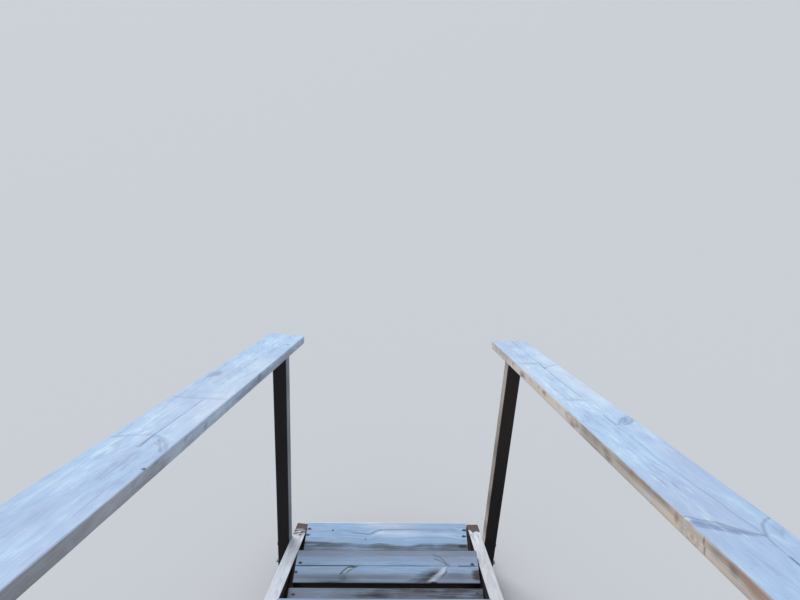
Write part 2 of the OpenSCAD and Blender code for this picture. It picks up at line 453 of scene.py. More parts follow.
def wood(name, tones, sheltered, knot, worn="#8a909b", tan="#b39a80", drift="#a9a3a0", crack="#2b2724",
         wet="#574843", ring=4.5 * MM, rings=0.1, streaks=0.34, clouds=0.28, flecks=0.12, sawn=0.0,
         relief=0.35 * MM, gloss=0.3, rough=(0.62, 0.85)):
    """Weathered wood. tones run from its darkest line to its palest, sheltered is its colour out of the sun,
    worn where rubbing has worn it and where a lit face and shade are painted, tan where it has kept its own,
    and drift what broad patches turn toward. rings, streaks, clouds and flecks are how far each moves the
    tone. relief is how deep its grain looks, sawn how much of that the saw's strokes are, and rough its
    roughness from least to most."""
    material, tree = empty_material(name)
    grain = add(tree, "ShaderNodeAttribute", attribute_name="grain").outputs["Vector"]

    # Noise stretched along the grain, by how many millimetres its marks are long and wide: the bend of the
    # growth rings, fibres, tone bands along the board, clouds where rain has dried, flecks, broad patches,
    # hairline checks and the saw's strokes. Real fibres are a thirtieth of a millimetre across, so what shows
    # is bundles of them, drawn 2.6 mm across.
    rows = [("bend", 330, 38, 2.0, 0.5), ("fibre", 170, 2.6, 3.0, 0.6), ("band", 620, 21, 4.0, 0.6),
            ("cloud", 140, 50, 5.0, 0.6), ("fleck", 38, 8, 3.0, 0.5), ("broad", 310, 66, 3.0, 0.5),
            ("hair", 140, 4.4, 2.0, 0.5)]
    if sawn:
        rows.append(("stroke", 2.4, 17, 2.0, 0.5))
    patterns = {}
    for pattern, length, width, detail, roughness in rows:
        stretched = add(tree, "ShaderNodeVectorMath", {0: grain, 1: marks_of(length, width)},
                        operation="MULTIPLY")
        patterns[pattern] = add(tree, "ShaderNodeTexNoise", {
            "Vector": stretched, "Scale": 1.0, "Detail": detail, "Roughness": roughness})
    fibre, cloud = patterns["fibre"], patterns["cloud"]

    # Growth rings about the pith, bent a little, each darkening to a thin line of late wood
    centred = add(tree, "ShaderNodeVectorMath", {0: patterns["bend"].outputs["Color"], 1: (0.5, 0.5, 0.5)},
                  operation="SUBTRACT")
    bent = add(tree, "ShaderNodeVectorMath", {0: centred, 1: (0.0, 0.03, 0.03)}, operation="MULTIPLY")
    cross = add(tree, "ShaderNodeVectorMath", {0: grain, 1: (0.0, 1.0, 1.0)}, operation="MULTIPLY")
    at = add(tree, "ShaderNodeVectorMath", {0: cross, 1: bent}, operation="ADD")
    away = add(tree, "ShaderNodeVectorMath", {0: at}, operation="LENGTH")
    turns = add(tree, "ShaderNodeMath", {0: away, 1: ring}, operation="DIVIDE")
    saw = add(tree, "ShaderNodeMath", {0: turns}, operation="FRACT")
    late = add(tree, "ShaderNodeMapRange", {"Value": saw, "From Min": 0.45, "From Max": 0.9},
               interpolation_type="SMOOTHSTEP")

    # The tone, from the darkest line to the palest
    tone = 0.5 + 0.5 * rings
    shares = {"fibre": streaks, "band": streaks * 0.6, "cloud": clouds, "fleck": flecks}
    for pattern, share in shares.items():
        level = add(tree, "ShaderNodeMath", {0: patterns[pattern], 1: share, 2: -0.5 * share},
                    operation="MULTIPLY_ADD")
        tone = add(tree, "ShaderNodeMath", {0: level, 1: tone}, operation="ADD")
    tone = add(tree, "ShaderNodeMath", {0: late, 1: -rings, 2: tone}, operation="MULTIPLY_ADD")
    ramp = add(tree, "ShaderNodeValToRGB", {"Fac": tone})
    set_stops(ramp, (0.35, 0.45, 0.55, 0.65), [linear(shade) for shade in tones])
    turned = add(tree, "ShaderNodeMapRange", {"Value": patterns["broad"], "From Min": 0.45, "From Max": 0.7,
                                              "To Max": 0.45})
    open_wood = add(tree, "ShaderNodeMix", {"Factor": turned, "A": ramp, "B": linear(drift)},
                    data_type="RGBA")

    # Out of the sun and rain the wood keeps more of its brown
    patchy = add(tree, "ShaderNodeMath", {0: cloud, 1: 0.5, 2: -0.25}, operation="MULTIPLY_ADD")
    open_to_sun = add(tree, "ShaderNodeAttribute", attribute_name="bleached").outputs["Fac"]
    sun = add(tree, "ShaderNodeMath", {0: open_to_sun, 1: patchy}, operation="ADD")
    bleached = add(tree, "ShaderNodeMapRange", {"Value": sun, "From Min": 0.3, "From Max": 0.85},
                   interpolation_type="SMOOTHSTEP")
    under = add(tree, "ShaderNodeValToRGB", {"Fac": tone})
    set_stops(under, (0.4, 0.6), [linear(shade) for shade in sheltered])
    faced = add(tree, "ShaderNodeMix", {"Factor": bleached, "A": under, "B": open_wood}, data_type="RGBA")

    # Short hairline checks follow the fibres
    hairline = add(tree, "ShaderNodeMapRange", {"Value": patterns["hair"], "From Min": 0.69,
                                                "From Max": 0.74, "To Max": 0.4})
    colour = add(tree, "ShaderNodeMix", {"Factor": hairline, "A": faced, "B": linear("#4c4a4c")},
                 data_type="RGBA")

    # Marks kept on the mesh, each broken up by the clouds and fibres, and shown between two amounts
    speck = add(tree, "ShaderNodeMath", {0: fibre, 1: cloud}, operation="ADD")
    mottle = add(tree, "ShaderNodeMath", {0: speck, 1: 1.0}, operation="SUBTRACT")
    shades = {"worn": worn, "tan": tan, "bare": "#e0eaf5", "damp": "#566778", "algae": "#6b7a59",
              "grime": "#2b2728", "wet": wet}
    for layer, shade in shades.items():
        ragged, least, most = MARKS[layer]
        amount = add(tree, "ShaderNodeAttribute", attribute_name=layer).outputs["Fac"]
        uneven = add(tree, "ShaderNodeMath", {0: mottle, 1: ragged, 2: 1.0}, operation="MULTIPLY_ADD")
        broken = add(tree, "ShaderNodeMath", {0: amount, 1: uneven}, operation="MULTIPLY")
        cover = add(tree, "ShaderNodeMapRange", {"Value": broken, "From Min": least, "From Max": most,
                                                 "To Max": 0.95})
        colour = add(tree, "ShaderNodeMix", {"Factor": cover, "A": colour, "B": linear(shade)},
                     data_type="RGBA")

    # A knot shows dark rings about its middle, and an open check is dark inside
    knotted = add(tree, "ShaderNodeAttribute", attribute_name="knot").outputs["Fac"]
    uneven = add(tree, "ShaderNodeMath", {0: mottle, 1: 0.4, 2: knotted}, operation="MULTIPLY_ADD")
    whorls = add(tree, "ShaderNodeValToRGB", {"Fac": uneven})
    set_stops(whorls, (0.08, 0.3, 0.42, 0.6, 0.72, 1.0),
              [(share, share, share, 1.0) for share in (0.0, 0.6, 0.15, 0.4, 0.1, 0.5)])
    colour = add(tree, "ShaderNodeMix", {"Factor": whorls, "A": colour, "B": linear(knot)}, data_type="RGBA")
    opened = add(tree, "ShaderNodeAttribute", attribute_name="check").outputs["Fac"]
    dark = add(tree, "ShaderNodeMapRange", {"Value": opened, "From Min": 0.05, "From Max": 0.85,
                                            "To Max": 0.85})
    colour = add(tree, "ShaderNodeMix", {"Factor": dark, "A": colour, "B": linear(crack)}, data_type="RGBA")

    # Late wood stands up between worn fibres, and a saw has left its strokes across rough stock
    ring_height = add(tree, "ShaderNodeMath", {0: late, 1: 0.45}, operation="MULTIPLY")
    height = add(tree, "ShaderNodeMath", {0: fibre, 1: 0.6, 2: ring_height}, operation="MULTIPLY_ADD")
    height = add(tree, "ShaderNodeMath", {0: hairline, 1: -1.2, 2: height}, operation="MULTIPLY_ADD")
    if sawn:
        height = add(tree, "ShaderNodeMath", {0: patterns["stroke"], 1: sawn, 2: height},
                     operation="MULTIPLY_ADD")
    bump = add(tree, "ShaderNodeBump", {"Height": height, "Distance": relief, "Strength": 0.8})
    dull = add(tree, "ShaderNodeMapRange", {"Value": fibre, "From Min": 0.3, "From Max": 0.7,
                                            "To Min": rough[0], "To Max": rough[1]})
    surface = add(tree, "ShaderNodeBsdfPrincipled", {
        "Base Color": colour, "Roughness": dull, "Normal": bump, "Specular IOR Level": gloss})
    add(tree, "ShaderNodeOutputMaterial", {"Surface": surface})
    return material


# Pine off the saw, left bare: fuzzy, nearly white where the sun reaches it
sawn_pine = wood("Sawn pine, bleached", ("#b3b8c1", "#ccd2db", "#dadfe7", "#ebeff3"), ("#6a6058", "#8f867c"),
                 "#84766a", drift="#d5d3d2", rings=0.08, streaks=0.4, sawn=0.8, relief=0.6 * MM, gloss=0.2)
STRINGER_LINES = (300, 13, 26)
# How far wet has stained the toes, in millimetres: along the top, and where it has risen in the sides
TOE_STAIN = {"left": 96, "right": 62}
RISEN_STAIN = 75
OUTWARD = {"left": (-1, 0, 0), "right": (1, 0, 0)}
for side, outward in OUTWARD.items():
    stringer = Timber(f"{side}_stringer", f"Sawn_stringer_{side}", sawn_pine, STRINGER_LINES, 2.0 * MM,
                      0.9 * MM, outward, (0, -1, 0), pitch=5 * MM, seed=3 if side == "left" else 4)
    run, inset, below = stringer.in_millimetres()
    stained = TOE_STAIN[side]
    reached = stained * (1 + 0.25 * wander(inset, 5, 12))
    wet = 1.6 * np.clip(1.0 - 3.0 * (run / reached - 0.85), 0.0, 1.0)
    risen = soft_step(2.6, 0.9, run / RISEN_STAIN) * soft_step(30, 110, below)
    stringer.layers["wet"] = np.maximum(wet, 0.8 * risen) * np.where(stringer.inner, 0.35, 1.0)
    # The inner face, which the treads shade, is painted dark as that shade, and the outer one is darker low
    # down
    stringer.layers["grime"] = 0.4 * np.clip(1.2 - 1.4 * run / stained, 0.0, 1.0)
    stringer.mark("grime", np.where(stringer.inner, 1.4, np.clip((below - 70) / 90, 0.0, 0.7)))
    # Just behind the stain the surface is broken into pale fibres
    for start, stop, inward in ((70, 100, 14), (78, 118, 30), (92, 128, 8), (104, 150, 12), (86, 108, 6)):
        stringer.score([(start, inward), (stop, inward + 2)], 1.8, 0.5, 0.8)
    frayed = np.exp(-((run - 1.3 * stained) / 22) ** 2) * stringer.top
    stringer.layers["bare"] = 0.6 * frayed * (1 + wander(inset, 9, 4))
    stringer.points[:, 2] += frayed * 1.2 * MM * wander(run + 0.3 * inset, 8, 10)
    if side == "right":
        stringer.layers["tan"] = 0.16 * stringer.top * soft_step(150, 350, run)
    else:
        # Torn fibres lie across the left toe, where the brown has come off with the wood
        for start, first, last in ((54, 14, 46), (66, 4, 30), (78, 20, 47), (88, 2, 24)):
            torn = stringer.score([(start, first), (start + 9, last)], 3.4, 0.5, -0.8, "bare")
            stringer.layers["wet"] *= 1 - torn
    stringer.check([(950, 26), (1300, 22)], 1.2, 4, seed=6)
    stringer.finish("stringer", floor=True)

# Cleats
# Short sawn battens under each tread's ends, screwed to the stringers' inner faces. Out of the sun they stay
# browner than the rest, and their colour is painted darker still as the shade of the gaps they lie in.
cleat_pine_painted_shade = wood("Sawn pine battens, sheltered, painted dark as shade", ("#37302a", "#4f463e", "#62584f", "#776d63"),
                  ("#332c26", "#574d44"), "#41362d", streaks=0.5, sawn=0.9, relief=0.6 * MM, gloss=0.2)
CLEAT_ARRIS = 1.5 * MM
TREADS = range(1, 7)


def batten(node, name, arris, material, seed):
    """A short batten: a merged copy of its CAD solid with cut faces, softened arrises and its own grain"""
    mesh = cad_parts[node].data.copy()
    mesh.name = name
    piece = new_object(name, mesh)
    weld = piece.modifiers.new("Weld", "WELD")
    weld.merge_threshold = 0.01 * MM
    flat = piece.modifiers.new("Flat", "DECIMATE")
    flat.decimate_type = "DISSOLVE"
    flat.angle_limit = math.radians(0.5)
    bevel = piece.modifiers.new("Arris", "BEVEL")
    bevel.width = arris
    bevel.segments = 2
    make_plain(piece)
    places = vectors_of(piece.data.vertices, "co")
    grain = np.column_stack([places[:, 1] + 1.3 * seed, places[:, 0], places[:, 2]])
    grain[:, 1:] -= grain[:, 1:].mean(0) + np.array([0.01, 0.04])
    keep_vectors(piece.data, "grain", grain)
    piece.data.materials.clear()
    piece.data.materials.append(material)
    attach(piece, "root")
    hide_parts(node)


# Where a cleat's screws are, along it from its middle
CLEAT_SCREWS = (-95 * MM, 0.0, 95 * MM)
cleat_screws = []
for number in TREADS:
    for side, outward in OUTWARD.items():
        name = f"{side}_cleat_{number}"
        batten(name, f"Batten_{side}_{number}", CLEAT_ARRIS, cleat_pine_painted_shade,
               2 * number + (side == "left"))
        inward, _, distance = min(flat_faces(name), key=lambda f: f[0].dot(Vector(outward)))
        corners = {tuple(v.co.to_tuple(5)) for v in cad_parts[name].data.vertices
                   if abs(inward.dot(v.co) - distance) < 0.1 * MM}
        middle = sum((Vector(c) for c in corners), Vector()) / len(corners)
        run = inward.cross(Vector((0, 0, 1))).normalized()
        cleat_screws += [(middle + shift * run, inward) for shift in CLEAT_SCREWS]

# Treads
# Two planed pine boards to each tread, screwed down on the cleats, silvered grey, with the sky's reflection
# painted in as blue. The lowest is washed clean, and those above are trodden greyer, with drying checks,
# knots and grime, and painted shade on their edges by the gaps.
tread_pine_sky_painted = wood("Planed pine, silvered and damp, with painted sky reflection", ("#7e99bd", "#90b1d7", "#a2c3e7", "#bdd6f0"),
                  ("#2e2a29", "#4f4a47"), "#4c5260", worn="#7b8496", drift="#9fa9c0", crack="#23242a",
                  ring=5.5 * MM, rings=0.08, streaks=0.32, clouds=0.3, relief=0.3 * MM, gloss=0.35,
                  rough=(0.5, 0.75))
# The boards that the camera sees best have finer mesh lines, and ends cut where the photograph has them
CLOSE = ((1, "front"), (2, "front"), (2, "back"))
FINE = (270, 56, 9)
PLAIN = (150, 36, 7)
TRIMS = {(1, "front"): (-2 * MM, 8 * MM), (2, "front"): (4 * MM, -1 * MM), (2, "back"): (1 * MM, 0.0)}
boards = {}
for number in TREADS:
    for place in ("front", "back"):
        key = (number, place)
        board = Timber(f"tread_{number}_{place}", f"Tread_board_{number}_{place}", tread_pine_sky_painted,
                       FINE if key in CLOSE else PLAIN, 2.6 * MM, 0.8 * MM, (0, -1, 0), (1, 0, 0),
                       seed=10 + 2 * number + (place == "back"), trim=TRIMS.get(key, (0.0, 0.0)),
                       centred=True)
        # The edges that face a gap are painted dark as the shade in it, and the nosing a little; all these
        # edges keep the dark sheltered colour
        rear_edge = (board.lattice[:, 1] > board.size[1] - SAME_PLACE) & ~board.top
        board.layers["grime"] = np.where(rear_edge, 0.8, 0.0)
        board.mark("grime", board.inner * (0.15 if place == "front" else 0.8))
        board.layers["bleached"] = np.where(board.inner | rear_edge, 0.2, board.layers["bleached"])
        # Feet have worn grey bands along each tread, faint ones on the lowest
        inset = board.lattice[:, 1] + 4 * MM * wander(board.lattice[:, 0], number, 0.12)
        tread_wear = 0.1 if number == 1 else 0.6 if place == "front" else 0.9
        board.layers["worn"] = tread_wear * board.top * (0.75 + 0.25 * wander(inset, number + 3, 0.03))
        boards[key] = board

# Boards farther up have chance knots, an end check each, and damp that has crept in from their ends
chance = np.random.default_rng(23)
for board in (b for key, b in boards.items() if key not in CLOSE):
    length, width = board.size[:2] / MM
    for share in chance.uniform(0.12, 0.88, 2):
        board.knot_at((share - 0.5) * length, chance.uniform(0.2, 0.8) * width, chance.uniform(8, 12))
    y = chance.uniform(0.25, 0.75) * width
    opened = chance.uniform(0.12, 0.4) * length
    start = -length / 2 if chance.uniform() < 0.5 else length / 2 - opened
    board.check([(start, y), (start + opened, y + 4)], 2, 4, seed=int(y))
    for end in (-length / 2, length / 2):
        board.stain("damp", end, chance.uniform(0.1, 0.9) * width, chance.uniform(20, 45),
                    chance.uniform(25, 60), 0.5)

# The lowest board: a thin check with paler wood behind it, and a damp green-grey stain along its rear edge
lowest = boards[1, "front"]
run, inset, below = lowest.in_millimetres()
lowest.check([(-140, 56), (-72, 65), (-32, 41), (120, 40), (271, 36)], 1.4, 2.0, 0.6, seed=2)
lowest.score([(-140, 56), (-72, 65), (-32, 41), (60, 40)], 1.5, 0.3, 0.0)
lowest.mark("worn", 0.6 * lowest.top * soft_step(122, 134, inset))
lowest.patch("bare", [(-42, 52), (0, 46), (120, 48), (270, 60), (140, 70), (0, 72), (-50, 68)], 0.45, 20)
lowest.patch("bare", [(-44, 52), (-20, 45), (-4, 52), (-20, 64), (-46, 62)], 0.6, 9)
lowest.stain("bare", 0, 18, 130, 16, 0.4)
# A pale line along the nosing's arris is a painted highlight
lowest.mark("bare", 1.6 * soft_step(6, 2, inset) * (below < 4))
damp_from = [(-330, 97), (-211, 106), (-70, 107), (25, 118), (81, 124), (136, 114), (283, 113)]
past = inset - np.interp(run, *zip(*damp_from))
damp = soft_step(-7, 9, past) * (1 - 0.45 * soft_step(14, 32, past)) * lowest.top
damp = np.maximum(damp, 0.14 * soft_step(-36, -14, past) * lowest.top)
patchy = 0.5 + 0.5 * wander(lowest.lattice[:, 0], 12, 0.11)
lowest.layers["damp"] = damp
lowest.layers["grime"] = (0.14 + 0.26 * patchy) * damp
lowest.layers["algae"] = 0.24 * damp * (1 - patchy)
lowest.patch("grime", [(284, 119), (310, 117), (314, 128), (290, 131)], 1.1, 16)
for mark in ((-328, 113, 16, 6, 1.0), (-223, 43, 5, 4, 1.8), (-88, 88, 4, 3, 1.0), (-322, 37, 12, 3, 1.0),
             (-322, 67, 12, 3, 1.0), (312, 42, 12, 3, 1.0), (310, 72, 12, 3, 1.0)):
    lowest.stain("grime", *mark)

# The second board: one check from end to end, a knot with a splinter beside it, and green in a crack
second = boards[2, "front"]
run, inset, below = second.in_millimetres()
second.layers["worn"] = second.top * np.interp(inset, [0, 20, 32, 66, 80, 100, 116, 132, 145],
                                               [1.0, 0.95, 0.6, 0.4, 0.3, 0.35, 1.1, 0.7, 1.0])
second.layers["damp"] = second.top * np.interp(inset, [0, 108, 118, 127, 134, 145],
                                               [0.0, 0.0, 0.35, 0.3, 0.0, 0.3])
second.check([(-339, 71), (330, 71)], 2.4, 3.0, 0.0, seed=4)
second.knot_at(227, 67, 6)
# The wood has lifted in a pale splinter; the hollow beside it is let down and painted dark as its shade
for layer, corners, amount, soft, rise in (
        ("damp", [(190, 84), (160, 88), (116, 110), (66, 143), (146, 143), (196, 92)], 1.0, 20, -0.8),
        ("grime", [(184, 94), (166, 98), (136, 118), (104, 143), (146, 143), (190, 96)], 0.85, 12, -0.6),
        ("bare", [(226, 74), (204, 80), (172, 106), (140, 139), (172, 141), (206, 112), (226, 86)], 0.45, 4,
         1.6),
        ("wet", [(322, 90), (336, 84), (345, 130), (312, 132)], 0.4, 16, 0.0)):
    second.patch(layer, corners, amount, soft, rise)
for layer, line, width, amount, depth in (
        ("check", [(-339, 71), (-120, 71)], 1.5, 1.0, 0.0), ("check", [(-120, 71), (160, 71)], 1.5, 0.4, 0.0),
        ("check", [(265, 71), (330, 71)], 1.5, 1.0, 0.0),
        ("check", [(-165, 106), (-154, 92), (-140, 78), (-106, 74)], 2.4, 0.9, 0.8),
        ("bare", [(-155, 98), (-142, 86), (-130, 80)], 2.0, 0.35, 0.0),
        ("algae", [(-142, 100), (-128, 88), (-116, 79)], 3.6, 0.9, 0.0),
        ("check", [(224, 62), (213, 46), (197, 30), (173, 21)], 1.8, 0.6, 0.6),
        ("check", [(222, 66), (204, 50), (178, 38)], 1.8, 0.6, 0.6),
        ("check", [(224, 78), (214, 104), (200, 116)], 1.8, 0.6, 0.6),
        ("check", [(206, 79), (174, 105), (140, 141)], 1.6, 0.5, 0.4),
        ("check", [(222, 96), (212, 108), (206, 114)], 1.8, 0.6, 0.4)):
    second.score(line, width, amount, depth, layer)
for mark in (("damp", -155, 125, 20, 20, 0.7), ("damp", 262, 114, 60, 22, 0.45),
             ("damp", -205, 138, 110, 12, 0.5), ("grime", -210, 143, 60, 6, 0.5),
             ("grime", 172, 143, 14, 4, 1.2), ("grime", 330, 108, 20, 24, 1.3)):
    second.stain(*mark)

# The board behind it keeps a darker, browner middle and right end
third = boards[2, "back"]
run, inset, below = third.in_millimetres()
third.layers["worn"] = third.top * 1.0
third.mark("grime", 0.62 * third.top * soft_step(-250, 0, run))

# Two screws hold each board end. Grime has gathered round each one.
HELD = {(1, "front"): [(-319, 36), (-323, 67), (312, 41), (307, 72)],
        (2, "front"): [(-317, 58), (-328, 99), (317, 63), (325, 120)],
        (2, "back"): [(-324, 28), (-322, 112), (322, 22), (326, 108)]}
SCREW_INSET = 18
SCREW_DEPTHS = (38, 105)
shifts = np.random.default_rng(7).uniform(-5, 5, (2, 48)).tolist()
tread_screws = []
for key, board in boards.items():
    held = HELD.get(key)
    if not held:
        reach = board.size[0] / 2 / MM - SCREW_INSET
        held = [(x + shifts[0].pop(), y + shifts[1].pop()) for x in (-reach, reach) for y in SCREW_DEPTHS]
    for x, y in held:
        board.stain("grime", x, y, 8, 6, 1.1)
        tread_screws.append((board.world(*board.at([(x, y)])[0]), Vector((0, 0, 1))))
    board.finish("tread")

# Posts
# Square posts bolted to the stringers' outer faces, coloured a near-black brown that paints in the shade on
# their faces. The face toward the treads is painted lighter as their lit side: a cool grey on the left,
# tan-grey on the right.
post_pine_painted_dark = wood("Planed pine, painted dark as shade", ("#100e0e", "#191616", "#241f1e", "#3a312c"),
                    ("#121011", "#1b1819"), "#0a0908", worn="#d6cab9", tan="#40302a", drift="#30261f",
                    ring=4 * MM, clouds=0.45, flecks=0.18, relief=0.3 * MM, gloss=0.25, rough=(0.55, 0.75))
POST_LINES = (200, 14, 14)
# How grey the right posts' lit face is painted, by height in millimetres
LIT_GREY = ((0, 0.85), (230, 0.9), (275, 0.5), (320, 0.8), (400, 0.4), (430, 0.38), (480, 0.6), (540, 0.68),
          (600, 0.78), (640, 0.5), (690, 0.45), (740, 0.66), (860, 0.75), (960, 0.88))
BOLT_HEIGHTS = {"lower": (75 * MM, 155 * MM), "upper": (700 * MM, 780 * MM)}
BOLT_STAGGER = 9 * MM
RAIL_FIXING = 58 * MM
RAIL_SCREW_ASIDE = 11 * MM
coach_bolts = []
rail_screws = []
for side, outward in OUTWARD.items():
    for place in ("lower", "upper"):
        seed = {"left": 40, "right": 44}[side] + (place == "upper")
        post = Timber(f"{side}_{place}_post", f"Post_{side}_{place}", post_pine_painted_dark, POST_LINES, 2.5 * MM,
                      0.6 * MM, outward, (0, 0, 1), up=(0, 1, 0), seed=seed)
        height, inset, below = post.in_millimetres()
        # The face toward the treads is painted lighter, as the post's lit side
        lit_face = post.lattice[:, 1] < SAME_PLACE
        if side == "left":
            post.layers["bare"] = 0.3 * lit_face
        else:
            post.layers["worn"] = lit_face * np.interp(height, *zip(*LIT_GREY))
            post.layers["tan"] = 0.4 * ~lit_face * soft_step(450, 800, height)
        centre_line = -post.size[2] / 2
        for bolt, aside in zip(BOLT_HEIGHTS[place], (-BOLT_STAGGER, BOLT_STAGGER)):
            coach_bolts.append((post.world(bolt, post.size[1], centre_line + aside), post.out))
        # No screw shows on the handrails, so two are driven up into each rail through its post's outer face
        for aside in (-RAIL_SCREW_ASIDE, RAIL_SCREW_ASIDE):
            screw = post.world(post.size[0] - RAIL_FIXING, post.size[1], centre_line + aside)
            rail_screws.append((screw, post.out))
        post.finish("post", floor=True)

# Handrails
# A flat planed pine board on each pair of posts, silvered almost white on top with the sky's blue painted
# into it, with tan showing on its edges, drying checks down its middle and knots along it.
rail_pine_sky_painted = wood("Planed pine, silvered by weather, with painted sky light", ("#a2b5d2", "#b1cae9", "#bcd7f2", "#d6ebfa"),
                 ("#7d8695", "#a5afbe"), "#6a7fa2", worn="#7f99c4", tan="#efdcc6", drift="#b7bedb",
                 crack="#3a4356", wet="#b18f7e", ring=3.2 * MM, rings=0.05, streaks=0.27, clouds=0.45,
                 flecks=0.28, relief=0.45 * MM)
RAIL_LINES = (620, 52, 10)
rails = {}
for side, outward in OUTWARD.items():
    rails[side] = Timber(f"{side}_handrail", f"Handrail_{side}", rail_pine_sky_painted, RAIL_LINES, 3 * MM, 0.8 * MM,
                         outward, (0, -1, 0), seed=50 + len(side))

# Right: a check most of the way, its dark side branch, an oblique knot at the outer edge, and a spike knot
# that crosses the board, a dark wedge on one side of the check and a dark curl on the other
right_rail = rails["right"]
run, inset, below = right_rail.in_millimetres()
# Its top is palest in the middle, and its shore end is painted darker and bluer as the shade it lies in
pale = soft_step(0, 400, run) * soft_step(1000, 700, run) * right_rail.top
right_rail.layers["bare"] = pale * (0.2 + 0.3 * soft_step(70, 90, inset))
right_rail.layers["worn"] = 0.25 * soft_step(950, 1500, run) * right_rail.top
crack = [(0, 69), (150, 69), (250, 66), (425, 67), (560, 64), (710, 66), (860, 66), (1000, 66), (1060, 66),
         (1180, 66), (1300, 70), (1380, 75), (1413, 74), (1445, 78), (1475, 80), (1500, 77), (1560, 74),
         (1935, 68)]
right_rail.check(crack[:8], 2.2, 4.5, 0.6, dark=0.32, seed=3)
right_rail.check(crack[8:], 2.0, 4.0, 0.6, dark=0.26, seed=3)
for start, stop, amount in ((0, 160, 0.42), (210, 390, 0.2), (402, 474, 0.6), (500, 800, 0.25),
                            (930, 1000, 0.4), (1070, 1200, 0.18), (1320, 1475, 0.12), (1530, 1600, 0.5)):
    places = np.arange(start, stop + 1, 35)
    right_rail.score(list(zip(places, np.interp(places, *zip(*crack)))), 1.6, amount, 0.0)
for line, width, amount in (
        ([(450, 69), (429, 90), (408, 114)], 2.8, 0.4),
        ([(262, 15), (248, 26), (234, 38), (238, 48), (250, 56), (274, 55)], 2.4, 0.16),
        ([(942, 114), (954, 98), (976, 84), (1000, 72)], 2.4, 0.3),
        ([(956, 118), (982, 106), (1002, 86)], 2.4, 0.3),
        ([(954, 104), (982, 92)], 2.4, 0.3),
        ([(1419, 2), (1431, 18), (1440, 38), (1453, 50), (1466, 62), (1476, 79)], 2.4, 0.42),
        ([(1438, 8), (1447, 28), (1450, 41), (1458, 48), (1470, 64)], 7.0, 0.26),
        ([(1451, 8), (1460, 30), (1472, 48)], 2.4, 0.26),
        ([(1421, 120), (1430, 107), (1443, 95), (1461, 86), (1475, 81)], 1.7, 0.45),
        ([(1475, 81), (1490, 77), (1505, 75)], 2.2, 0.2),
        ([(1452, 118), (1466, 106), (1480, 100)], 2.4, 0.16)):
    right_rail.score(line, width, amount)
right_rail.score([(1476, 88), (1488, 92), (1500, 96)], 4.0, 0.24, 0.0, "bare")
for corners, amount, soft in (
        ([(944, 116), (950, 96), (976, 82), (1006, 72), (998, 90), (978, 112)], 0.45, 14),
        ([(1422, 0), (1452, 0), (1470, 40), (1480, 74), (1464, 62), (1440, 26)], 0.75, 14),
        ([(1432, 120), (1446, 99), (1466, 90), (1480, 96), (1474, 112), (1462, 120)], 0.4, 8)):
    right_rail.patch("worn", corners, amount, soft)
for mark in (("bare", 1426, 3, 9, 4, 0.6), ("damp", 395, 40, 18, 40, 0.22), ("damp", 810, 40, 12, 40, 0.2)):
    right_rail.stain(*mark)
# Fibres have lifted in pale dashes between the check and the inner edge
dashes = np.random.default_rng(17)
for _ in range(26):
    right_rail.stain("bare", *dashes.uniform((1190, 12, 8, 1.6, 0.2), (1500, 62, 20, 2.8, 0.5)))
# Its inner edge is tan, paler in its lower half and darker from the middle on. It shows a ringed knot, green
# spots, brown stains by the spike knot, and a split.
upper_strip = soft_step(17, 9, below)
dirt = np.interp(run, (960, 1000, 1080, 1120, 1160, 1220, 1280, 1360, 1420, 1470, 1560),
                 (0.0, 1.35, 1.35, 0.7, 0.8, 1.0, 0.6, 0.5, 0.15, 0.15, 0.8))
cream = 0.25 * soft_step(500, 580, run) * soft_step(1000, 940, run)
cream += 0.12 * soft_step(1300, 1370, run) * soft_step(1490, 1460, run)
right_rail.layers["tan"] = right_rail.inner * (0.8 + cream - 0.3 * soft_step(450, 300, run) * upper_strip)
right_rail.layers["bare"] += 0.12 * right_rail.inner * soft_step(300, 500, run) * soft_step(1000, 900, run)
streaked = 0.12 * dirt + 0.16 * soft_step(1160, 1240, run)
right_rail.layers["grime"] = right_rail.inner * (0.22 * dirt + upper_strip * streaked)
for mark in (
        ("bare", 205, 5, 75, 9, 0.4), ("bare", 870, 18, 50, 8, 0.4), ("bare", 965, 16, 14, 9, 0.4),
        ("bare", 1426, 14, 7, 16, 0.3), ("algae", 652, 10, 16, 6, 0.35), ("algae", 826, 12, 20, 8, 0.25),
        ("algae", 1312, 2, 9, 5, 0.35), ("grime", 350, 12, 12, 6, 0.4), ("grime", 478, 16, 36, 8, 0.42),
        ("grime", 1040, 10, 30, 6, 0.36), ("grime", 1185, 12, 24, 5, 0.35), ("grime", 1275, 4, 26, 7, 0.16),
        ("grime", 1400, 11, 7, 9, 0.45), ("grime", 1415, 2, 10, 5, 0.4), ("grime", 1475, 8, 3, 7, 0.7),
        ("grime", 1478, 19, 3, 7, 0.6), ("grime", 1575, 3, 36, 5, 0.16), ("wet", 580, 14, 22, 7, 0.28),
        ("wet", 706, 11, 24, 8, 0.75), ("wet", 930, 12, 24, 6, 0.5), ("wet", 1243, 7, 14, 4, 0.7),
        ("wet", 1290, 5, 14, 4, 0.6), ("wet", 1402, 9, 9, 11, 0.6), ("wet", 1437, 3, 12, 3, 0.6),
        ("wet", 1446, 17, 8, 5, 0.55), ("wet", 1565, 5, 44, 7, 0.6), ("wet", 1590, 9, 28, 9, 0.9)):
    right_rail.stain(*mark, inner=True)
for mark in (("grime", 930, 12, 38, 9, 0.36), ("grime", 1446, 17, 15, 9, 0.24)):
    right_rail.stain(*mark, inner=True, hollow=True)

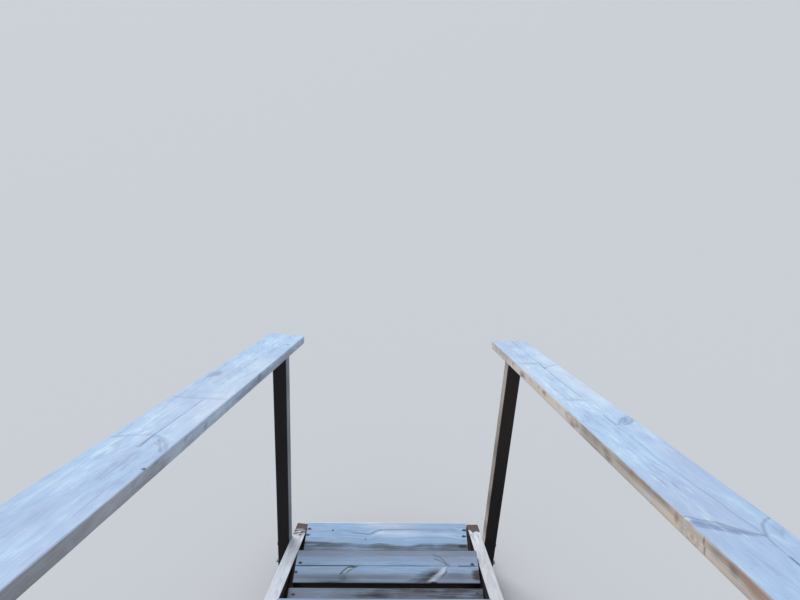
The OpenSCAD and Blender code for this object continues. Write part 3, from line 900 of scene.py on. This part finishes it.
# Left: broken checks, a knot by the inner edge that the grain sweeps round, a bruise and two dark dots
left_rail = rails["left"]
run, inset, below = left_rail.in_millimetres()
# Its top is palest in the middle; toward the shore its outer half is painted darker and bluer as shade, and
# its inner face is darker there
pale = soft_step(300, 500, run) * soft_step(1250, 900, run) * left_rail.top
left_rail.layers["bare"] = pale * (0.12 + 0.22 * soft_step(65, 35, inset))
left_rail.layers["worn"] = 0.2 * soft_step(1100, 1500, run) * soft_step(45, 95, inset) * left_rail.top
left_rail.layers["grime"] = 0.32 * soft_step(1200, 1600, run) * left_rail.inner
upper_strip = soft_step(18, 9, below) * soft_step(1400, 1100, run)
left_rail.layers["bleached"] += 0.14 * left_rail.inner * upper_strip
left_rail.layers["bare"] += 0.13 * left_rail.inner * soft_step(1350, 1100, run)
left_rail.check([(370, 53), (560, 53)], 1.4, 3, 1.0, seed=6)
left_rail.check([(900, 48), (1190, 52)], 1.4, 3, 1.0, seed=8)
left_rail.check([(1600, 60), (1935, 66)], 1.8, 4, 1.0, seed=7)
for layer, line, width, amount, depth in (
        ("check", [(873, 8), (882, 60), (890, 116)], 7.0, 0.17, 0.2),
        ("check", [(1206, 4), (1170, 16), (1146, 34), (1134, 54), (1146, 84), (1166, 114)], 5.0, 0.2, 0.4),
        ("check", [(1214, 8), (1180, 22), (1160, 34)], 2.4, 0.35, 0.4),
        ("check", [(1206, 12), (1188, 20), (1172, 32)], 1.8, 0.3, 0.4),
        ("check", [(1200, 4), (1182, 10), (1166, 22), (1154, 36)], 1.8, 0.3, 0.4),
        ("bare", [(1194, 14), (1176, 26), (1162, 38)], 2.6, 0.4, 0.0),
        ("bare", [(1150, 12), (1140, 24), (1134, 36)], 5.0, 0.35, 0.0),
        ("check", [(1137, 53), (1168, 51), (1200, 53)], 2.2, 0.3, 0.4),
        ("check", [(1220, 45), (1310, 50), (1410, 57), (1520, 64)], 8.0, 0.13, 0.0)):
    left_rail.score(line, width, amount, depth, layer)
left_rail.patch("damp", [(628, 92), (660, 84), (700, 98), (690, 112), (640, 110)], 0.4, 14)
for mark in (("grime", 660, 98, 22, 12, 0.25), ("damp", 300, 40, 50, 6, 0.3), ("grime", 184, 20, 8, 4, 0.7),
             ("grime", 1288, 3, 5, 4, 1.4)):
    left_rail.stain(*mark)
for mark in (("damp", 610, 10, 20, 20, 0.7), ("tan", 1500, 14, 400, 30, 0.24)):
    left_rail.stain(*mark, inner=True)

# A rough stretch of the left rail is flecked white and grey
blotches = np.random.default_rng(11)
for _ in range(26):
    layer = "bare" if blotches.uniform() < 0.5 else "damp"
    left_rail.stain(layer, *blotches.uniform((540, 46, 6, 2, 0.15), (760, 112, 16, 5, 0.4)))

# Short dark and pale blotches lie along both inner edges
for rail in rails.values():
    most = 0.5 if rail is right_rail else 0.3
    for place in np.arange(30, 1900, 45):
        layer = "damp" if blotches.uniform() < 0.4 else "bare"
        shift, *mark = blotches.uniform((-20, 4, 8, 5, 0.1), (20, 24, 22, 10, most))
        rail.stain(layer, place + shift, *mark, inner=True)
    rail.finish("handrail")

# Screws
# Countersunk galvanised screws with a six-lobed recess hold cleats, treads and handrails. They are driven
# flush with the wood, or a little under it.


def fastener_tree(name, sizes):
    """The start of a fastener's tree: where they go, their sizes, a seed and their steel are its inputs"""
    inputs = {"Geometry": ("Places",), "Float": sizes, "Int": ("Seed",), "Material": ("Steel",)}
    return new_tree(name, inputs, "Fasteners")


def set_at_places(tree, given, head):
    """Ends a fastener tree: the head stands at each place, turned by chance about the place's up direction"""
    turn = add(tree, "FunctionNodeRandomValue", {"Min": 0.0, "Max": 2 * math.pi, "Seed": given["Seed"]},
               data_type="FLOAT")
    about = add(tree, "ShaderNodeCombineXYZ", {2: turn})
    turned = add(tree, "FunctionNodeEulerToRotation", {0: about})
    up = add(tree, "GeometryNodeInputNamedAttribute", {"Name": "up"}, data_type="FLOAT_VECTOR")
    facing = add(tree, "FunctionNodeAlignRotationToVector", {"Rotation": turned, "Vector": up}, axis="Z")
    set_out = add(tree, "GeometryNodeInstanceOnPoints", {
        "Points": given["Places"], "Instance": head, "Rotation": facing})
    real = add(tree, "GeometryNodeRealizeInstances", {"Geometry": set_out})
    finished = add(tree, "GeometryNodeSetMaterial", {"Geometry": real, "Material": given["Steel"]})
    add(tree, "NodeGroupOutput", {"Fasteners": finished})


def chamfered(tree, body, height, scale):
    """Raises a body's top face by height and draws it in, and gives the new body and its top"""
    raised = add(tree, "GeometryNodeExtrudeMesh", {
        "Mesh": body.outputs["Mesh"], "Selection": body.outputs["Top"], "Offset Scale": height})
    drawn_in = add(tree, "GeometryNodeScaleElements", {
        "Geometry": raised.outputs["Mesh"], "Selection": raised.outputs["Top"], "Scale": scale})
    return drawn_in, raised.outputs["Top"]


screws, given = fastener_tree("Countersunk screws", ("Head radius", "Head depth", "Recess radius",
                                                     "Recess depth"))
LOBES = 6.0
LOBE_DEPTH = 0.16
CHAMFERED = 0.88
disc = add(screws, "GeometryNodeMeshCylinder", {
    "Vertices": 24, "Radius": given["Head radius"], "Depth": given["Head depth"]})
bevelled, top = chamfered(screws, disc, 0.3 * MM, CHAMFERED)
ring = add(screws, "GeometryNodeExtrudeMesh", {"Mesh": bevelled, "Selection": top, "Offset Scale": 0.0})
share = add(screws, "ShaderNodeMath", {0: given["Recess radius"], 1: given["Head radius"]},
            operation="DIVIDE")
share = add(screws, "ShaderNodeMath", {0: share, 1: CHAMFERED}, operation="DIVIDE")
inset = add(screws, "GeometryNodeScaleElements", {
    "Geometry": ring.outputs["Mesh"], "Selection": ring.outputs["Top"], "Scale": share})
spot = add(screws, "GeometryNodeInputPosition")
parts = add(screws, "ShaderNodeSeparateXYZ", {0: spot})
angle = add(screws, "ShaderNodeMath", {0: parts.outputs["Y"], 1: parts.outputs["X"]}, operation="ARCTAN2")
turns = add(screws, "ShaderNodeMath", {0: angle, 1: LOBES}, operation="MULTIPLY")
wave = add(screws, "ShaderNodeMath", {0: turns}, operation="COSINE")
lobe = add(screws, "ShaderNodeMath", {0: wave, 1: LOBE_DEPTH, 2: 1.0}, operation="MULTIPLY_ADD")
flat = add(screws, "ShaderNodeCombineXYZ", {0: lobe, 1: lobe, 2: 1.0})
lobed = add(screws, "ShaderNodeVectorMath", {0: spot, 1: flat}, operation="MULTIPLY")
star = add(screws, "GeometryNodeSetPosition", {
    "Geometry": inset, "Selection": ring.outputs["Top"], "Position": lobed})
drop = add(screws, "ShaderNodeMath", {0: given["Recess depth"], 1: -1.0}, operation="MULTIPLY")
recessed = add(screws, "GeometryNodeExtrudeMesh", {
    "Mesh": star, "Selection": ring.outputs["Top"], "Offset Scale": drop})
sunk = add(screws, "ShaderNodeMath", {0: given["Head depth"], 1: -0.5}, operation="MULTIPLY")
flush = add(screws, "ShaderNodeCombineXYZ", {2: sunk})
set_at_places(screws, given, add(screws, "GeometryNodeTransform", {
    "Geometry": recessed, "Translation": flush}))


def steel(name, clean, dull, rust, rusted, roughness):
    """Weathered steel: clean and dull metal in fine patches, with rust over as much of it as rusted says"""
    material, tree = empty_material(name)
    place = add(tree, "ShaderNodeTexCoord").outputs["Object"]
    grain = add(tree, "ShaderNodeTexNoise", {"Vector": place, "Scale": 1 / (1.1 * MM), "Detail": 3.0})
    patch = add(tree, "ShaderNodeTexNoise", {"Vector": place, "Scale": 1 / (6 * MM), "Detail": 4.0})
    metal = add(tree, "ShaderNodeMix", {"Factor": grain, "A": linear(clean), "B": linear(dull)},
                data_type="RGBA")
    edge = add(tree, "ShaderNodeMapRange", {"Value": patch, "From Min": 0.62 - rusted * 0.3,
                                            "From Max": 0.72 - rusted * 0.3})
    colour = add(tree, "ShaderNodeMix", {"Factor": edge, "A": metal, "B": linear(rust)}, data_type="RGBA")
    bare = add(tree, "ShaderNodeMapRange", {"Value": edge, "To Min": 0.85, "To Max": 0.05})
    rough = add(tree, "ShaderNodeMapRange", {"Value": edge, "To Min": roughness, "To Max": 0.9})
    bump = add(tree, "ShaderNodeBump", {"Height": patch, "Distance": 0.15 * MM, "Strength": 0.6})
    surface = add(tree, "ShaderNodeBsdfPrincipled", {
        "Base Color": colour, "Metallic": bare, "Roughness": rough, "Normal": bump})
    add(tree, "ShaderNodeOutputMaterial", {"Surface": surface})
    return material


# Zinc that has gone dark and spotted with rust: small dark dots from where the camera stands
dull_zinc = steel("Galvanised steel, gone dark", "#5d5f62", "#3e4043", "#3a271d", 0.5, 0.55)
screw_heads = grown(screws, {
    "Head radius": 4.6 * MM, "Head depth": 2.4 * MM, "Recess radius": 2.1 * MM, "Recess depth": 1.4 * MM,
    "Seed": 3, "Steel": dull_zinc}, "Countersunk_screws", tread_screws + rail_screws + cleat_screws)
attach(screw_heads, "root")

# Coach bolts
# Two hexagon-headed coach bolts hold each post to its stringer, put in from outside. They are of hot-dip
# galvanised steel, and each head bears on a round washer that keeps it from sinking into the wood.
bolts, given = fastener_tree("Coach bolts", ("Head radius", "Head height", "Washer radius",
                                             "Washer thickness"))
plate = add(bolts, "GeometryNodeMeshCylinder", {
    "Vertices": 32, "Radius": given["Washer radius"], "Depth": given["Washer thickness"]})
washer, _ = chamfered(bolts, plate, 0.3 * MM, 0.96)
hexagon = add(bolts, "GeometryNodeMeshCylinder", {
    "Vertices": 6, "Radius": given["Head radius"], "Depth": given["Head height"]})
head, _ = chamfered(bolts, hexagon, 1.0 * MM, 0.84)
lift = add(bolts, "ShaderNodeMath", {0: given["Head height"], 1: 0.5, 2: given["Washer thickness"]},
           operation="MULTIPLY_ADD")
up_to = add(bolts, "ShaderNodeCombineXYZ", {2: lift})
raised_head = add(bolts, "GeometryNodeTransform", {"Geometry": head, "Translation": up_to})
whole = add(bolts, "GeometryNodeJoinGeometry")
for part in (washer, raised_head):
    bolts.links.new(part.outputs[0], whole.inputs[0])
set_at_places(bolts, given, whole)

# Hot-dip zinc is thick and lasts: it stays a brighter grey than the screws' and has little rust
zinc = steel("Hot-dip galvanised steel, weathered", "#9a9da0", "#7c8084", "#5b3a28", 0.25, 0.5)
bolt_heads = grown(bolts, {
    "Head radius": 8.0 * MM, "Head height": 6.0 * MM, "Washer radius": 13.0 * MM,
    "Washer thickness": 2.0 * MM, "Seed": 4, "Steel": zinc}, "Coach_bolts", coach_bolts)
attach(bolt_heads, "root")

# Floor and backdrop
# A plain pale studio floor of rolled matt paint. It runs on far past the camera's view, and the world behind
# it has the colour that the floor renders as, so that its edge hardly shows.
FLOOR_REACH = 120.0
floor_mesh = bpy.data.meshes.new("Studio_floor")
floor_corners = [(x * FLOOR_REACH, y * FLOOR_REACH, 0.0) for x, y in ((-1, -1), (1, -1), (1, 1), (-1, 1))]
floor_mesh.from_pydata(floor_corners, [], [(0, 1, 2, 3)])
floor = new_object("Studio_floor", floor_mesh)
floor_paint = bpy.data.materials.new("Matt studio paint, rolled")
floor_paint.use_nodes = True
floor_surface = floor_paint.node_tree.nodes["Principled BSDF"]
floor_surface.inputs["Base Color"].default_value = linear("#d3d5d8")
floor_surface.inputs["Roughness"].default_value = 0.9
floor_surface.inputs["Specular IOR Level"].default_value = 0.1
floor_mesh.materials.append(floor_paint)

# Light
# Soft light from a bright overcast sky, a little stronger from the foot of the stair and the left. The sun
# is as broad as thin cloud makes it, so no shadow has a hard edge.
world = bpy.data.worlds.new("Overcast")
bpy.context.scene.world = world
world.use_nodes = True
world.node_tree.nodes.clear()
sky = add(world.node_tree, "ShaderNodeBackground", {"Color": linear("#eef3fa"), "Strength": 0.62})
# The camera and reflections see the floor's own rendered colour past its edge
backdrop = add(world.node_tree, "ShaderNodeBackground", {"Color": linear("#cacfd5"), "Strength": 1.0})
ray = add(world.node_tree, "ShaderNodeLightPath").outputs
seen = add(world.node_tree, "ShaderNodeMath", {0: ray["Is Camera Ray"], 1: ray["Is Glossy Ray"]},
           operation="ADD")
seen = add(world.node_tree, "ShaderNodeMath", {0: seen, 1: ray["Is Transmission Ray"]}, operation="ADD")
either = add(world.node_tree, "ShaderNodeMixShader", {0: seen, 1: sky, 2: backdrop})
add(world.node_tree, "ShaderNodeOutputWorld", {"Surface": either})
SUN_FROM = Vector((-0.45, 0.75, 1.15))
sun = bpy.data.lights.new("Soft_sun", "SUN")
sun.energy = 1.5
sun.angle = math.radians(35)
new_object("Soft_sun", sun).rotation_euler = SUN_FROM.to_track_quat("Z", "Y").to_euler()

# Camera
# Stands at the head of the stair at eye height and looks down it, with a 29 mm lens on a 36 mm wide sensor.
# Its place and angles bring the stair's edges to where the photograph has them.
IMAGE_WIDTH = 800
FOCAL_PIXELS = 647.0
SENSOR = 36.0
EYE = Vector((43.7, -1060.7, 2244.9)) * MM
PITCH_DOWN, YAW, ROLL = (math.radians(a) for a in (27.688, -0.071, 0.149))
LEVEL_REACH = math.cos(PITCH_DOWN)
look = Vector((math.sin(YAW) * LEVEL_REACH, math.cos(YAW) * LEVEL_REACH, -math.sin(PITCH_DOWN)))
level = Vector((math.cos(YAW), -math.sin(YAW), 0.0))
right = math.cos(ROLL) * level + math.sin(ROLL) * level.cross(look)
upright = right.cross(look)
lens = bpy.data.cameras.new("Camera")
lens.sensor_width = SENSOR
lens.lens = FOCAL_PIXELS / IMAGE_WIDTH * SENSOR
lens.clip_end = 300.0
camera = new_object("Camera", lens)
camera.matrix_world = Matrix.Translation(EYE) @ Matrix((right, upright, -look)).transposed().to_4x4()
bpy.context.scene.camera = camera
bpy.context.scene.view_settings.view_transform = "Standard"
